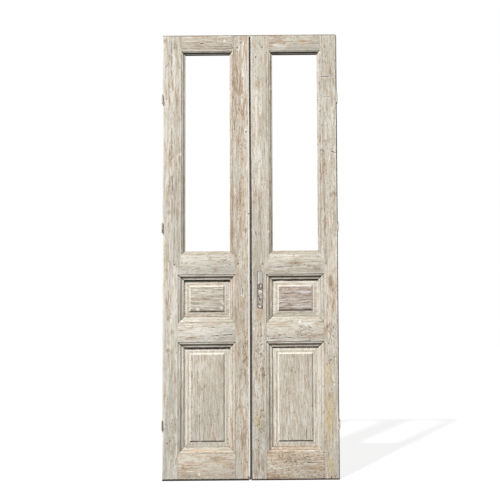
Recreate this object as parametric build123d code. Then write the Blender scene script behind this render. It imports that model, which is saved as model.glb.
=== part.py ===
"""Pair of old panelled pine doors, each glazed opening above two fielded panels.

Row frame: X to the right, -Y towards the viewer, +Z up, origin at the bottom centre. Every leaf is drawn
in its own coordinates first: u across from its left edge, d back from its front face, z up from its foot.
"""

import os

from build123d import *

# Leaf, in millimetres
LEAF_W = 470.0
LEAF_H = 2400.0
LEAF_T = 45.0
LEAF_GAP = 5.0
ARRIS_R = 2.0
WORN_CORNER_R = 10.0

# Sight lines of the three openings of a leaf: u0, u1, z0, z1
SIGHT_U0 = 113.0
GLASS_U0 = 117.0
SIGHT_U1 = 362.0
GLASS = (GLASS_U0, SIGHT_U1, 1221.0, 2296.0)
SMALL = (SIGHT_U0, SIGHT_U1, 866.0, 1066.0)
TALL = (SIGHT_U0, SIGHT_U1, 172.0, 704.0)

# Stuck mouldings, worked on the stiles and rails themselves
PANEL_MOULD = 30.0
GLASS_MOULD = 16.0
REBATE_W = 12.0
REBATE_D = 15.0

# Panels in their grooves
GROOVE_D0 = 18.0
GROOVE_D1 = 28.0
GROOVE_DEEP = 12.0
TONGUE_SLACK = 0.2
TONGUE_SIDE = 10.0
FIELD_FOOT = 29.0
FIELD_MARGIN = 38.0
MARGIN_TOP_D = 13.0
FIELD_D = 8.0

# Wedged through tenons
TENON_D0 = 16.0
TENON_D1 = 30.0
TENON_ROOT = 126.0
TENONS = {
    "top_rail": (2310.0, 2370.0),
    "lock_rail": (1082.0, 1206.0),
    "frieze_rail": (720.0, 850.0),
    "bottom_rail": (24.0, 156.0),
}
WEDGE_L = 62.0
WEDGE_THICK = 6.0
WEDGE_THIN = 1.0
PEG_R = 5.0
PEG_U = 64.0
PEG_Z = (2332.0, 1150.0)

# Three-knuckle butt hinges, their pins just in front of the outer arris
HINGE_Z = {"low": 294.0, "mid": 1349.0, "top": 2050.0}
HINGE_H = 50.0
HINGE_PLATE = 2.5
HINGE_DEEP = 35.0
HINGE_SHUT = 1.0
KNUCKLE_R = 4.5
KNUCKLE_OUT = 5.0
KNUCKLE_MID = 16.4
KNUCKLE_PLAY = 0.4
PIN_R = 2.5
PIN_PLAY = 0.06
HINGE_SCREW_D = 18.0
HINGE_SCREW_Z = 15.0
HINGE_HOLE_R = 2.25
HINGE_HEAD_R = 3.75

# Lock, in the right leaf's coordinates, and the strike that faces it
BACKSET = 50.0
SPINDLE_Z = 1030.0
KEY_Z = 961.0
LATCH_Z = 1051.0
BOLT_Z = 980.0
MID_D = LEAF_T / 2
FOREND = (898.0, 1075.0)
FOREND_SCREW = 5.5
FOREND_W = 22.0
FOREND_T = 3.0
STRIKE_T = 2.0
CASE_U1 = 84.0
CASE_Z = (926.0, 1063.5)
CASE_T = 14.0
CASE_WALL = 1.5
LATCH_OUT = 2.5
LATCH_TRAVEL = 8.0
BOLT_TRAVEL = 20.0
ARM_R = 18.0
SPINDLE = 8.0
JOURNAL_R = 7.0
JOURNAL_PLAY = 0.05

# Escutcheon on the right leaf's meeting stile
PLATE_W = 30.0
PLATE_Z = (911.0, 1111.0)
PLATE_T = 3.0
PLATE_SUNK = 1.5
PLATE_END_R = 12.0
BOSS_R = 13.5
BOSS_OUT = 3.0

# The knuckles stand out in front, so the box is centred half way between them and the back faces
KNUCKLE_FRONT = KNUCKLE_OUT + KNUCKLE_R
FRONT_Y = -(LEAF_T - KNUCKLE_FRONT) / 2
LEFT_X = -LEAF_GAP / 2 - LEAF_W
RIGHT_X = LEAF_GAP / 2


def block(u0, u1, d0, d1, z0, z1):
    """Box between two leaf coordinates on each axis."""
    return Pos((u0 + u1) / 2, (d0 + d1) / 2, (z0 + z1) / 2) * Box(u1 - u0, d1 - d0, z1 - z0)


def prism(points, d0, d1):
    """Solid from a (u, z) outline, between two depths."""
    plane = Plane(origin=(0, d0, 0), x_dir=(1, 0, 0), z_dir=(0, -1, 0))
    return extrude(plane * make_face(Polyline(*points, close=True)), amount=-(d1 - d0))


def rod_d(u, z, r, d0, d1):
    """Cylinder along the leaf's depth."""
    return Pos(u, (d0 + d1) / 2, z) * Rot(90, 0, 0) * Cylinder(r, d1 - d0)


def rod_z(u, d, r, z0, z1):
    """Upright cylinder."""
    return Pos(u, d, (z0 + z1) / 2) * Cylinder(r, z1 - z0)


def keyhole(d0, d1, ease=0.0):
    """Round eye with the slot for the bit below it."""
    eye = rod_d(BACKSET, KEY_Z + 4, 3.6 + ease, d0, d1)
    slot = block(BACKSET - 1.6 - ease, BACKSET + 1.6 + ease, d0, d1, KEY_Z - 8 - ease, KEY_Z + 4)
    return eye + slot


def screw(length, head_r, shank_r, domed=False):
    """Slotted wood screw: head face at the origin, shank down the +Z axis."""
    body = Pos(0, 0, length / 2) * Cylinder(shank_r, length)
    body += Pos(0, 0, (head_r - shank_r) / 2) * Cone(head_r, shank_r, head_r - shank_r)
    slot_z = 0.0
    if domed:
        body += Pos(0, 0, -0.5) * Cylinder(head_r, 1.0)
        body += Pos(0, 0, -1.5) * Cone(head_r * 0.6, head_r, 1.0)
        slot_z = -2.0
    return body - Pos(0, 0, slot_z) * Box(2.4 * head_r, 0.9, 1.6)


def sunk_hole(head_r, shank_r, depth):
    """Countersunk hole that takes the same screw."""
    hole = Pos(0, 0, depth / 2) * Cylinder(shank_r, depth + 0.2)
    return hole + Pos(0, 0, (head_r - shank_r) / 2) * Cone(head_r, shank_r, head_r - shank_r)


def panel_profile():
    """Void of the panel moulding: s out from the sight line, d back from the face."""
    lines = [
        Line((-1, -1), (PANEL_MOULD, -1)),
        Line((PANEL_MOULD, -1), (PANEL_MOULD, 2.5)),
        Line((PANEL_MOULD, 2.5), (25, 2.5)),
        ThreePointArc((25, 2.5), (16.9, 4.8), (13.5, 10.5)),
        Line((13.5, 10.5), (3, 11)),
        ThreePointArc((3, 11), (0.9, 11.9), (0, 14)),
        Line((0, 14), (-1, 14)),
        Line((-1, 14), (-1, -1)),
    ]
    return make_face(Wire(lines))


def glass_profile():
    """Void of the smaller moulding round the glazed opening."""
    lines = [
        Line((-1, -1), (GLASS_MOULD, -1)),
        Line((GLASS_MOULD, -1), (GLASS_MOULD, 2)),
        Line((GLASS_MOULD, 2), (13, 2)),
        ThreePointArc((13, 2), (7.5, 4.5), (5, 10)),
        Line((5, 10), (0, 10.5)),
        Line((0, 10.5), (-1, 10.5)),
        Line((-1, 10.5), (-1, -1)),
    ]
    return make_face(Wire(lines))


def mitred_run(profile, opening):
    """Sweeps a moulding's void round an opening, with square mitres at its corners."""
    u0, u1, z0, z1 = opening
    um = (u0 + u1) / 2
    path = Polyline((um, 0, z0), (u1, 0, z0), (u1, 0, z1), (u0, 0, z1), (u0, 0, z0), (um, 0, z0))
    plane = Plane(origin=(um, 0, z0), x_dir=(0, 0, -1), z_dir=(1, 0, 0))
    return sweep(plane * profile, path=path, transition=Transition.RIGHT)


def to_back(cutter):
    """The same cut from the back face."""
    return mirror(cutter, about=Plane(origin=(0, MID_D, 0), x_dir=(1, 0, 0), z_dir=(0, 1, 0)))


def around(opening, grow, d0, d1):
    """Block over an opening, grown on all four sides."""
    u0, u1, z0, z1 = opening
    return block(u0 - grow, u1 + grow, d0, d1, z0 - grow, z1 + grow)


def make_blank():
    """A whole leaf's framing as one piece, before the joints divide it."""
    blank = block(0, LEAF_W, 0, LEAF_T, 0, LEAF_H)
    blank = fillet(blank.edges().filter_by(Axis.Z), ARRIS_R)
    glass_run = mitred_run(glass_profile(), GLASS)
    blank -= around(GLASS, 0, -1, LEAF_T + 1)
    blank -= glass_run
    blank -= around(GLASS, REBATE_W, LEAF_T - REBATE_D, LEAF_T + 1)
    for opening in (SMALL, TALL):
        run = mitred_run(panel_profile(), opening)
        blank -= around(opening, 0, -1, LEAF_T + 1)
        blank -= run
        blank -= to_back(run)
        blank -= around(opening, GROOVE_DEEP, GROOVE_D0, GROOVE_D1)
    return blank


def rail_outline(name):
    """Outline of a rail: square shoulders that turn into mitres where the mouldings meet."""
    u0, u1 = SIGHT_U0, SIGHT_U1
    p, g = PANEL_MOULD, GLASS_MOULD
    glass_u0, glass_u1, base, top = GLASS
    if name == "top_rail":
        left, right = glass_u0 - g, glass_u1 + g
        mitred = [(left, top + g), (glass_u0, top), (glass_u1, top), (right, top + g)]
        return mitred + [(right, LEAF_H), (left, LEAF_H)]
    if name == "bottom_rail":
        z = TALL[2]
        return [(u0 - p, 0), (u1 + p, 0), (u1 + p, z - p), (u1, z), (u0, z), (u0 - p, z - p)]
    if name == "frieze_rail":
        low, high, high_u0, w1 = TALL[3], SMALL[2], u0, p
    else:
        low, high, high_u0, w1 = SMALL[3], base, glass_u0, g
    left = [(high_u0, high), (high_u0 - w1, high - w1), (u0 - p, low + p), (u0, low)]
    right = [(u1, low), (u1 + p, low + p), (u1 + w1, high - w1), (u1, high)]
    return left + right


def tenon_pair(name):
    """Both tenons of a rail, running right through the stiles."""
    z0, z1 = TENONS[name]
    right = block(LEAF_W - TENON_ROOT + 18, LEAF_W, TENON_D0, TENON_D1, z0, z1)
    return [block(0, TENON_ROOT, TENON_D0, TENON_D1, z0, z1), right]


def wedge(side, z, up):
    """Wedge driven in beside a tenon: thick at the stile's outer edge."""
    outer = 0.0 if side == "left" else LEAF_W
    inner = WEDGE_L if side == "left" else LEAF_W - WEDGE_L
    way = 1 if up else -1
    points = [(outer, z), (inner, z), (inner, z + way * WEDGE_THIN), (outer, z + way * WEDGE_THICK)]
    return prism(points, TENON_D0, TENON_D1)


def all_wedges():
    """Wedges above and below every tenon."""
    found = []
    for z0, z1 in TENONS.values():
        for side in ("left", "right"):
            found.append(wedge(side, z0, False))
            found.append(wedge(side, z1, True))
    return found


def all_pegs():
    """Draw pegs through the top and lock rails' tenons, from face to face."""
    found = []
    for z in PEG_Z:
        for u in (PEG_U, LEAF_W - PEG_U):
            found.append(rod_d(u, z, PEG_R, 0, LEAF_T))
    return found


def make_rail(blank, name):
    """One rail with its tenons, bored for its pegs."""
    rail = blank & prism(rail_outline(name), -1, LEAF_T + 1)
    for tenon in tenon_pair(name):
        rail += tenon
    for peg in all_pegs():
        rail -= peg
    return rail


def make_stiles(blank):
    """Both stiles: what the rails leave, mortised, with flared ends for the wedges."""
    stiles = blank
    for name in TENONS:
        stiles -= prism(rail_outline(name), -1, LEAF_T + 1)
        for tenon in tenon_pair(name):
            stiles -= tenon
    for piece in all_wedges() + all_pegs():
        stiles -= piece
    left, right = stiles.solids().sort_by(Axis.X)
    return left, right


def make_panel(opening):
    """Raised and fielded panel, standing on the bottom of its groove."""
    u0, u1, z0, z1 = opening
    tongue_d0 = GROOVE_D0 + TONGUE_SLACK
    tongue_d1 = GROOVE_D1 - TONGUE_SLACK
    panel = block(
        u0 - TONGUE_SIDE, u1 + TONGUE_SIDE, tongue_d0, tongue_d1, z0 - GROOVE_DEEP, z1 + TONGUE_SIDE
    )

    def outline(margin, d):
        """The sight rectangle drawn in by a margin, at a depth."""
        plane = Plane(origin=((u0 + u1) / 2, d, (z0 + z1) / 2), x_dir=(1, 0, 0), z_dir=(0, -1, 0))
        return plane * Rectangle(u1 - u0 - 2 * margin, z1 - z0 - 2 * margin)

    foot = outline(FIELD_FOOT, MARGIN_TOP_D)
    sloping_margin = loft([outline(0, tongue_d0), foot])
    bevelled_field = loft([foot, outline(FIELD_MARGIN, FIELD_D)])
    return panel + sloping_margin + bevelled_field


def hinge_knuckle(u_pin, z0, z1, bore_r):
    """Bored knuckle round the pin's axis."""
    return rod_z(u_pin, -KNUCKLE_OUT, KNUCKLE_R, z0, z1) - rod_z(u_pin, -KNUCKLE_OUT, bore_r, z0, z1)


def hinge_holes(u_face, way, z):
    """Countersunk screw holes: heads on the face at u_face, shanks towards way."""
    found = []
    for dz in (-HINGE_SCREW_Z, HINGE_SCREW_Z):
        place = Pos(u_face, HINGE_SCREW_D, z + dz) * Rot(0, 90 * way, 0)
        found.append(place * sunk_hole(HINGE_HEAD_R, HINGE_HOLE_R, HINGE_PLATE + 2))
    return found


def hinge_screws(u_face, way, z):
    """Screws of the leaf-side plate."""
    found = []
    for dz in (-HINGE_SCREW_Z, HINGE_SCREW_Z):
        place = Pos(u_face, HINGE_SCREW_D, z + dz) * Rot(0, 90 * way, 0)
        found.append(place * screw(25, HINGE_HEAD_R, HINGE_HOLE_R))
    return found


def leaf_plate(edge, way, z):
    """Leaf side of a hinge: plate let into the edge, with the middle knuckle."""
    inner = edge + way * HINGE_PLATE
    u_pin = edge - way * HINGE_SHUT / 2
    half = HINGE_H / 2
    knuckle_half = KNUCKLE_MID / 2
    plate = block(min(edge, inner), max(edge, inner), 0, HINGE_DEEP, z - half, z + half)
    plate += block(
        min(edge, inner), max(edge, inner), -KNUCKLE_OUT, 0, z - knuckle_half, z + knuckle_half
    )
    plate -= rod_z(u_pin, -KNUCKLE_OUT, KNUCKLE_R - 0.5, z - knuckle_half, z + knuckle_half)
    plate += hinge_knuckle(u_pin, z - knuckle_half, z + knuckle_half, PIN_R + PIN_PLAY)
    for hole in hinge_holes(edge, way, z):
        plate -= hole
    return plate


def jamb_plate(edge, way, z):
    """Jamb side of a hinge: plate with the upper and lower knuckles."""
    near = edge - way * HINGE_SHUT
    far = near - way * HINGE_PLATE
    u_pin = edge - way * HINGE_SHUT / 2
    half = HINGE_H / 2
    inner_half = KNUCKLE_MID / 2 + KNUCKLE_PLAY
    plate = block(min(near, far), max(near, far), 0, HINGE_DEEP, z - half, z + half)
    strap = far + way * 0.8
    for z0, z1 in ((z - half, z - inner_half), (z + inner_half, z + half)):
        plate += block(min(near, strap), max(near, strap), -KNUCKLE_OUT, 0, z0, z1)
        plate -= rod_z(u_pin, -KNUCKLE_OUT, KNUCKLE_R - 0.5, z0, z1)
        plate += hinge_knuckle(u_pin, z0, z1, PIN_R)
    for hole in hinge_holes(near, -way, z):
        plate -= hole
    return plate


def hinge_pin(edge, way, z):
    """Pin through all three knuckles, with low domed ends."""
    u_pin = edge - way * HINGE_SHUT / 2
    half = HINGE_H / 2
    pin = rod_z(u_pin, -KNUCKLE_OUT, PIN_R, z - half, z + half)
    for way_z in (-1, 1):
        cap = rod_z(u_pin, -KNUCKLE_OUT, KNUCKLE_R - 0.7, 0, 2.0)
        cap = chamfer(cap.edges().sort_by(Axis.Z)[-1], 1.2)
        if way_z < 0:
            cap = mirror(cap, about=Plane.XY)
        pin += Pos(0, 0, z + way_z * half) * cap
    return pin


def edge_gain(edge, way, z):
    """Shallow gain in the stile's outer edge for a hinge plate."""
    half = HINGE_H / 2
    inner = edge + way * HINGE_PLATE
    return block(min(edge, inner), max(edge, inner), -1, HINGE_DEEP, z - half, z + half)


def slot_pair(u0, u1, ease):
    """Openings for the latch and the dead bolt through an edge plate or wall."""
    latch = block(u0, u1, MID_D - 5.2 - ease, MID_D + 5.2 + ease, LATCH_Z - 10 - ease, LATCH_Z + 10 + ease)
    bolt = block(u0, u1, MID_D - 5.0 - ease, MID_D + 5.0 + ease, BOLT_Z - 11 - ease, BOLT_Z + 11 + ease)
    return latch + bolt


def edge_plate(u0, u1, way, ease):
    """Forend or strike: flush plate on a meeting edge with both openings and two screws."""
    z0, z1 = FOREND
    plate = block(u0, u1, MID_D - FOREND_W / 2, MID_D + FOREND_W / 2, z0, z1)
    plate -= slot_pair(u0 - 1, u1 + 1, ease)
    face = u0 if way > 0 else u1
    screws = []
    for z in (z0 + FOREND_SCREW, z1 - FOREND_SCREW):
        place = Pos(face, MID_D, z) * Rot(0, 90 * way, 0)
        plate -= place * sunk_hole(3.5, 1.75, FOREND_T + 2)
        screws.append(place * screw(18, 3.5, 1.75))
    return plate, screws


def make_lock_case():
    """Lock case open at its back, with its cap plate let inside the walls."""
    u0, u1 = FOREND_T, CASE_U1
    z0, z1 = CASE_Z
    d0, d1 = MID_D - CASE_T / 2, MID_D + CASE_T / 2
    w = CASE_WALL
    case = block(u0, u1, d0, d1, z0, z1) - block(u0 + w, u1 - w, d0 + w, d1 + 1, z0 + w, z1 - w)
    cap = block(u0 + w, u1 - w, d1 - w, d1, z0 + w, z1 - w)
    case -= slot_pair(u0 - 1, u0 + w + 1, 0.3)
    journal = rod_d(BACKSET, SPINDLE_Z, JOURNAL_R + JOURNAL_PLAY, d0 - 1, d1 + 1)
    eye = keyhole(d0 - 1, d1 + 1)
    return case - journal - eye, cap - journal - eye


def make_follower():
    """Follower turned by the spindle: square hole, two journals and one arm into the latch tail."""
    d0, d1 = MID_D - CASE_T / 2, MID_D + CASE_T / 2
    w = CASE_WALL + 0.2
    body = rod_d(BACKSET, SPINDLE_Z, JOURNAL_R, d0, d1)
    body += rod_d(BACKSET, SPINDLE_Z, 11.0, d0 + w, d1 - w)
    body += block(BACKSET - 1.6, BACKSET + 1.6, MID_D - 2.4, MID_D + 2.4, SPINDLE_Z, SPINDLE_Z + ARM_R)
    body += rod_d(BACKSET, SPINDLE_Z + ARM_R, 3.0, MID_D - 2.4, MID_D + 2.4)
    half = SPINDLE / 2
    return body - block(BACKSET - half, BACKSET + half, d0 - 1, d1 + 1, SPINDLE_Z - half, SPINDLE_Z + half)


def make_latch():
    """Bevelled latch with a slotted tail."""
    head = block(-LATCH_OUT, 14, MID_D - 5.2, MID_D + 5.2, LATCH_Z - 10, LATCH_Z + 10)
    tail = block(14, 62, MID_D - 2.5, MID_D + 2.5, SPINDLE_Z + 15, LATCH_Z + 6)
    slot_top = SPINDLE_Z + ARM_R + 4
    tail -= block(BACKSET - 3.5, BACKSET + 3.5, MID_D - 3, MID_D + 3, SPINDLE_Z + 14, slot_top)
    bevel = [(-LATCH_OUT - 1, MID_D - 2.5), (-LATCH_OUT, MID_D - 2.5), (8, MID_D + 5.2)]
    bevel += [(8, MID_D + 6), (-LATCH_OUT - 1, MID_D + 6)]
    cut = extrude(Plane.XY * make_face(Polyline(*bevel, close=True)), amount=30)
    return head + tail - Pos(0, 0, LATCH_Z - 15) * cut


def make_dead_bolt():
    """Square bolt with a thin tail that clears the key, and a talon for the bit."""
    head = block(0, 38, MID_D - 5, MID_D + 5, BOLT_Z - 11, BOLT_Z + 11)
    tail = block(38, 62, MID_D - 2, MID_D + 2, BOLT_Z - 11, BOLT_Z + 9)
    return head + tail - block(45, 55, MID_D - 3, MID_D + 3, BOLT_Z - 12, BOLT_Z - 4)


def make_escutcheon():
    """Round-ended plate with a spindle boss and a keyhole, and its three screws."""
    z0, z1 = PLATE_Z
    half = PLATE_W / 2
    front = PLATE_SUNK - PLATE_T
    plate = block(BACKSET - half, BACKSET + half, front, PLATE_SUNK, z0, z1)
    plate = fillet(plate.edges().filter_by(Axis.Y), PLATE_END_R)
    boss = rod_d(BACKSET, SPINDLE_Z, BOSS_R, front - BOSS_OUT, front)
    plate += chamfer(boss.edges().sort_by(Axis.Y)[0], 1.2)
    plate -= rod_d(BACKSET, SPINDLE_Z, 8.0, front - BOSS_OUT - 1, PLATE_SUNK + 1)
    plate -= keyhole(front - 1, PLATE_SUNK + 1)
    screws = []
    for z, head_r, domed in ((z1 - 14, 3.5, False), (1000.0, 6.0, True), (z0 + 16, 3.5, False)):
        place = Pos(BACKSET, front, z) * Rot(-90, 0, 0)
        plate -= place * sunk_hole(head_r, 1.75, PLATE_T + 2)
        screws.append(place * screw(15, head_r, 1.75, domed))
    return plate, screws


def group(pieces):
    """Separate solids that share one node."""
    return Compound([solid for piece in pieces for solid in piece.solids()])


def save(name, shape, x):
    """Puts a leaf's piece in the row frame and writes it."""
    export_step(Pos(x, FRONT_Y, 0) * shape, f"parts/{name}.step")


def save_hinges(prefix, x, edge, way):
    """Writes one side's hinges and returns the gains and screws for the stile."""
    cuts = []
    screws = []
    for place, z in HINGE_Z.items():
        save(f"{prefix}_leaf_plate_{place}", leaf_plate(edge, way, z), x)
        save(f"{prefix}_jamb_plate_{place}", jamb_plate(edge, way, z), x)
        save(f"{prefix}_hinge_pin_{place}", hinge_pin(edge, way, z), x)
        cuts.append(edge_gain(edge, way, z))
        screws += hinge_screws(edge, way, z)
    save(f"{prefix}_hinge_screws", group(screws), x)
    return cuts + screws


def cut_all(piece, cutters):
    """Takes every cutter from a piece."""
    for cutter in cutters:
        piece -= cutter
    return piece


def main():
    os.makedirs("parts", exist_ok=True)
    blank = make_blank()
    left_stile, right_stile = make_stiles(blank)
    rails = {name: make_rail(blank, name) for name in TENONS}
    panels = {"small_panel": make_panel(SMALL), "tall_panel": make_panel(TALL)}

    for prefix, x in (("left", LEFT_X), ("right", RIGHT_X)):
        for name, shape in panels.items():
            save(f"{prefix}_{name}", shape, x)
        for name, shape in rails.items():
            save(f"{prefix}_{name}", shape, x)
        save(f"{prefix}_tenon_wedges", group(all_wedges()), x)
        save(f"{prefix}_pegs", group(all_pegs()), x)

    # Left leaf: hinged on its left edge, strike in its meeting edge, one chipped foot
    strike, strike_screws = edge_plate(LEAF_W - STRIKE_T, LEAF_W, -1, 1.0)
    save("left_strike_plate", strike, LEFT_X)
    save("left_strike_screws", group(strike_screws), LEFT_X)
    hinge_cuts = save_hinges("left", LEFT_X, 0.0, 1)
    save("left_hinge_stile", cut_all(left_stile, hinge_cuts), LEFT_X)
    z0, z1 = FOREND
    recess = block(
        LEAF_W - STRIKE_T, LEAF_W + 1, MID_D - FOREND_W / 2, MID_D + FOREND_W / 2, z0, z1
    )
    latch_box = block(LEAF_W - 12, LEAF_W, MID_D - 6.5, MID_D + 6.5, LATCH_Z - 11.5, LATCH_Z + 11.5)
    bolt_box = block(LEAF_W - 22, LEAF_W, MID_D - 6.5, MID_D + 6.5, BOLT_Z - 12.5, BOLT_Z + 12.5)
    chip = prism([(LEAF_W - 7, -1), (LEAF_W + 1, -1), (LEAF_W + 1, 18), (LEAF_W - 3, 15)], -1, 16)
    meeting = cut_all(right_stile, [recess, latch_box, bolt_box, chip] + strike_screws)
    save("left_meeting_stile", meeting, LEFT_X)

    # Right leaf: hinged on its right edge, lock in its meeting edge, worn upper corner
    forend, forend_screws = edge_plate(0, FOREND_T, 1, 0.3)
    plate, plate_screws = make_escutcheon()
    case, cap = make_lock_case()
    save("right_forend", forend, RIGHT_X)
    save("right_forend_screws", group(forend_screws), RIGHT_X)
    save("right_escutcheon", plate, RIGHT_X)
    save("right_escutcheon_screws", group(plate_screws), RIGHT_X)
    save("right_lock_case", case, RIGHT_X)
    save("right_lock_cap", cap, RIGHT_X)
    save("latch_bolt", make_latch(), RIGHT_X)
    save("dead_bolt", make_dead_bolt(), RIGHT_X)
    save("follower", make_follower(), RIGHT_X)
    hinge_cuts = save_hinges("right", RIGHT_X, LEAF_W, -1)
    r = WORN_CORNER_R
    corner = block(LEAF_W - r, LEAF_W + 1, -1, LEAF_T + 1, LEAF_H - r, LEAF_H + 1)
    corner -= rod_d(LEAF_W - r, LEAF_H - r, r, -2, LEAF_T + 2)
    save("right_hinge_stile", cut_all(right_stile, hinge_cuts + [corner]), RIGHT_X)
    cuts = [
        block(-1, FOREND_T, MID_D - FOREND_W / 2, MID_D + FOREND_W / 2, z0, z1),
        block(0, CASE_U1, MID_D - CASE_T / 2, MID_D + CASE_T / 2, *CASE_Z),
        block(BACKSET - 16, BACKSET + 16, -1, PLATE_SUNK, PLATE_Z[0] - 1, PLATE_Z[1] + 1),
        rod_d(BACKSET, SPINDLE_Z, 9.0, -1, LEAF_T + 1),
        keyhole(-1, LEAF_T + 1, 0.6),
    ]
    meeting = cut_all(left_stile, cuts + forend_screws + plate_screws)
    save("right_meeting_stile", meeting, RIGHT_X)


main()
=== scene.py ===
import math
import random

import bpy
from mathutils import Matrix, Vector


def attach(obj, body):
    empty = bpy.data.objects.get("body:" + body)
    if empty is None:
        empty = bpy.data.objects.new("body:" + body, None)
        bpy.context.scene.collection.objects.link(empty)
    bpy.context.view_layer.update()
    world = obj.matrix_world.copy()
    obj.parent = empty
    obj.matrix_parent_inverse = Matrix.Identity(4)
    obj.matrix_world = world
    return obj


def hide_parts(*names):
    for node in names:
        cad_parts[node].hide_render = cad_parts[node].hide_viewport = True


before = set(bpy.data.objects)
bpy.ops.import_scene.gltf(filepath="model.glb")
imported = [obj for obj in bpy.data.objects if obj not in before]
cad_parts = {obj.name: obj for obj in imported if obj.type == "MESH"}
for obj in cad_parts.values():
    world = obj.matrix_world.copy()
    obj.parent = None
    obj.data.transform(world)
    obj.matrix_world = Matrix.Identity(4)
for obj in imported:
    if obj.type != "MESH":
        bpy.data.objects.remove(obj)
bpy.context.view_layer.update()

# The leaves, in metres: their front face, the plane behind which no wear is placed, their left
# edges and size, and how far their arrises are eased.
FRONT = -0.01775
WEAR_ENDS = -0.002
LEFT_EDGE = {"left": -0.4725, "right": 0.0025}
LEAF_WIDE = 0.470
LEAF_TALL = 2.400
EASE = 0.0006

# Sight lines of the openings, across from a leaf's left edge and up from the floor.
SIGHT_LEFT = 0.113
GLASS_LEFT = 0.117
SIGHT_RIGHT = 0.362
GLASS = (1.221, 2.296)
SMALL = (0.866, 1.066)
TALL = (0.172, 0.704)

# The mouldings lie outside the sight lines. Their quirks take dirt and painted shade, their lips
# lime and painted highlights.
PANEL_MOULD = 0.030
PANEL_QUIRK, PANEL_FILLET = 0.0292, 0.0135
PANEL_ARRIS, PANEL_LIP = 0.0340, 0.0070
GLASS_MOULD = 0.016
GLASS_QUIRK = 0.0165
GLASS_TOP_LIP, GLASS_ARRIS = 0.0155, 0.0205
SILL_DEEP = 0.014
OPENINGS = (
    (SMALL, SIGHT_LEFT, PANEL_MOULD),
    (TALL, SIGHT_LEFT, PANEL_MOULD),
    (GLASS, GLASS_LEFT, GLASS_MOULD),
)

# A panel's margin slopes up from the sight line to the bevel, and the bevel up to the field.
BEVEL_FOOT = 0.029
FIELD_EDGE = 0.038

# How deep the painted shadow lies under the top moulding of each panel, and where the painted
# shadow at its field's foot is darkest.
PANEL_SHADOWS = {
    ("left", "small_panel"): (0.0130, 0.0305),
    ("left", "tall_panel"): (0.0110, 0.0335),
    ("right", "small_panel"): (0.0085, 0.0355),
    ("right", "tall_panel"): (0.0060, 0.0325),
}

# Where each rail's shoulders meet the stiles, from the leaf's left edge, and how dark each is.
SHOULDERS = {
    "top_rail": (0.101, 0.378, 0.45, 0.9),
    "frieze_rail": (0.083, 0.392, 0.3, 0.3),
    "bottom_rail": (0.083, 0.392, 0.6, 0.6),
}

# How far up from the floor the dark band at the foot reaches.
DARK_FOOT_REACH = {"left": 0.0085, "right": 0.0065}

MEMBERS = (
    "hinge_stile",
    "meeting_stile",
    "top_rail",
    "lock_rail",
    "frieze_rail",
    "bottom_rail",
    "small_panel",
    "tall_panel",
)
UPRIGHT = ("hinge_stile", "meeting_stile", "tall_panel")

# For each board: how much bare wood, how much thick wash and how much dirt, above the usual.
TONES = {
    "left_hinge_stile": (-0.02, 0.03, -0.01),
    "left_meeting_stile": (0.03, -0.03, 0.02),
    "left_top_rail": (0.02, 0.0, 0.0),
    "left_lock_rail": (-0.04, 0.09, 0.0),
    "left_frieze_rail": (-0.02, 0.03, 0.0),
    "left_bottom_rail": (0.02, -0.10, 0.02),
    "left_small_panel": (0.0, 0.0, 0.02),
    "left_tall_panel": (0.0, 0.0, 0.0),
    "right_hinge_stile": (-0.02, -0.03, 0.02),
    "right_meeting_stile": (-0.01, 0.0, 0.02),
    "right_top_rail": (0.01, -0.03, 0.01),
    "right_lock_rail": (0.0, 0.0, 0.01),
    "right_frieze_rail": (-0.01, 0.0, 0.01),
    "right_bottom_rail": (0.04, -0.16, 0.09),
    "right_small_panel": (0.0, 0.03, 0.0),
    "right_tall_panel": (0.01, 0.0, 0.0),
}

# Marks on the escutcheon: millimetres across from its middle and up from the floor, the radii
# between which each fades, its colour and how much of it.
PLATE_MIDDLE = 0.0525
SPINDLE_UP = 1.0295
PLATE_MARKS = (
    (0, 1029, 0, 15.5, (140, 126, 114), 0.8),
    (0, 1029, 3, 8, (112, 96, 82), 0.85),
    (-6, 1050, 2, 6, (234, 230, 222), 0.8),
    (-1, 1045, 1.5, 4.5, (34, 27, 22), 0.95),
    (1, 999, 7, 10.5, (232, 229, 222), 0.9),
    (1, 999, 0.5, 4, (150, 146, 140), 0.8),
    (-8, 977, 3, 8, (100, 78, 56), 0.85),
    (7, 975, 2, 7, (214, 206, 204), 0.6),
    (-1, 962, 3, 7.5, (44, 38, 34), 0.9),
    (-8, 936, 3, 8, (112, 98, 74), 0.8),
    (-1, 943, 2, 6, (214, 210, 192), 0.6),
    (-1, 922, 3, 7, (238, 234, 224), 0.85),
)

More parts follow.
